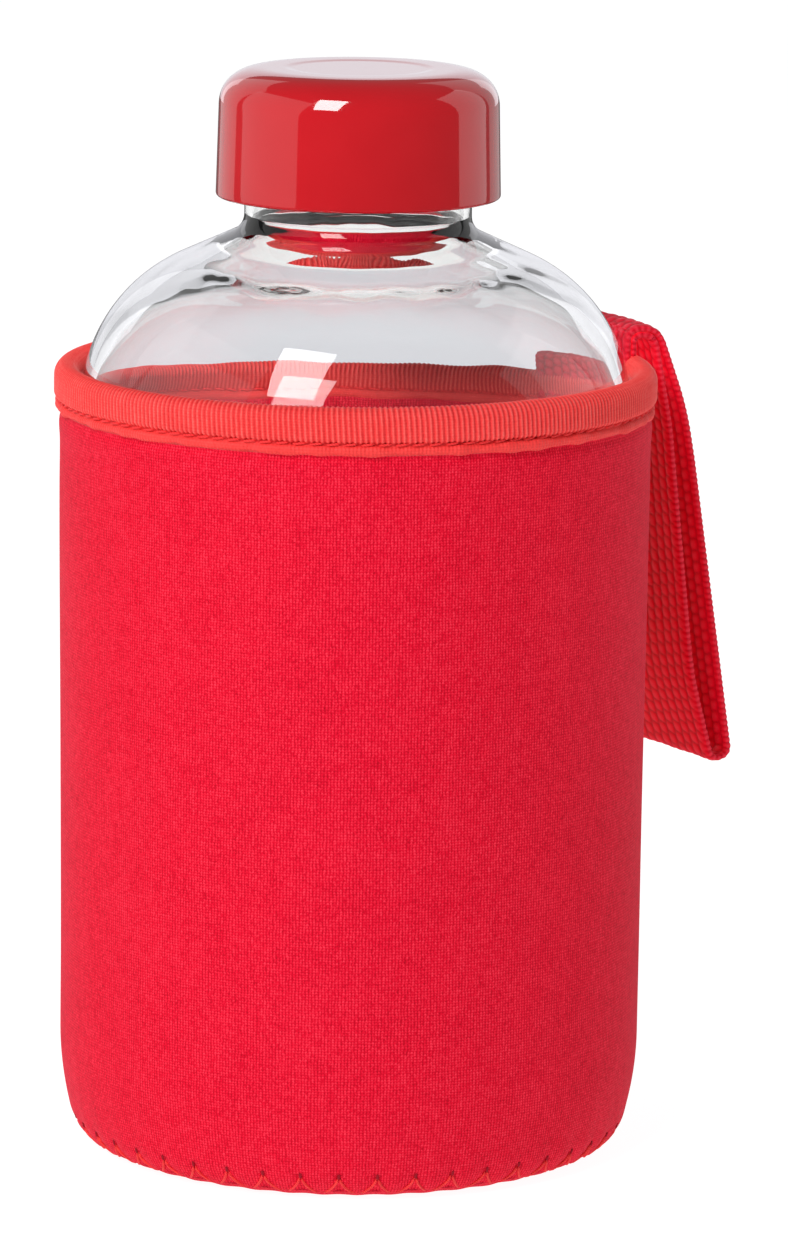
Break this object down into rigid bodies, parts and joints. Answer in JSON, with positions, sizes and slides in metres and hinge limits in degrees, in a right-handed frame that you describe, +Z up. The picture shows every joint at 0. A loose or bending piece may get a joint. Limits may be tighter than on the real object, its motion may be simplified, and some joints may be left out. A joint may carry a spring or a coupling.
{
  "type": "glass water bottle",
  "caption": "Clear glass screw-top water bottle in a close-fitting red neoprene sleeve with a ribbed rim binding, a webbing hang loop and a glossy red cap.",
  "frame": {"origin": "centre of the sleeve's flat underside, on the bottle's axis", "axes": "+Z up along the bottle's axis, +Y towards the hang loop and the sleeve's closing seam"},
  "size_m": [0.0928, 0.1086, 0.1682],
  "materials": {
    "clear_glass": "clear, smooth, faintly grey-green at the edge",
    "cap_red_gloss": "high gloss",
    "liner_plastic": "satin, moulded",
    "seal_foam": "soft, matt",
    "neoprene_knit": "fine knit facing",
    "binding_tape": "ribbed elastic tape",
    "sewing_thread": "twisted thread",
    "strap_webbing": "woven webbing"
  },
  "bodies": {
    "sleeve": {"sleeve_side": "neoprene_knit", "sleeve_base": "neoprene_knit", "rim_binding": "binding_tape", "rim_stitching": "sewing_thread", "base_stitching": "sewing_thread", "side_seam_stitching": "sewing_thread", "strap_tail": "strap_webbing", "strap_stitching": "sewing_thread"},
    "bottle": {"glass_bottle": "clear_glass"},
    "seal": {"cap_gasket": "seal_foam"},
    "cap": {"cap_shell": "cap_red_gloss", "cap_liner": "liner_plastic"},
    "strap": {"strap_loop": "strap_webbing"}
  },
  "joints": [
    {"name": "bottle_lift", "type": "slide", "parent": "sleeve", "child": "bottle", "axis": [0, 0, 1], "range_m": [0, 0.13]},
    {"name": "cap_rise", "type": "slide", "parent": "bottle", "child": "seal", "axis": [0, 0, 1], "range_m": [0, 0.021]},
    {"name": "cap_turn", "type": "hinge", "parent": "seal", "child": "cap", "pos_m": [0, 0, 0.15], "axis": [0, 0, 1], "range_deg": [0, 1785]},
    {"name": "strap_swing", "type": "hinge", "parent": "sleeve", "child": "strap", "pos_m": [0, 0.0454, 0.1268], "axis": [1, 0, 0], "range_deg": [0, 140]}
  ],
  "couplings": [
    {"joint": "cap_rise", "follows": "cap_turn", "m_per_rad": 0.0006737}
  ]
}
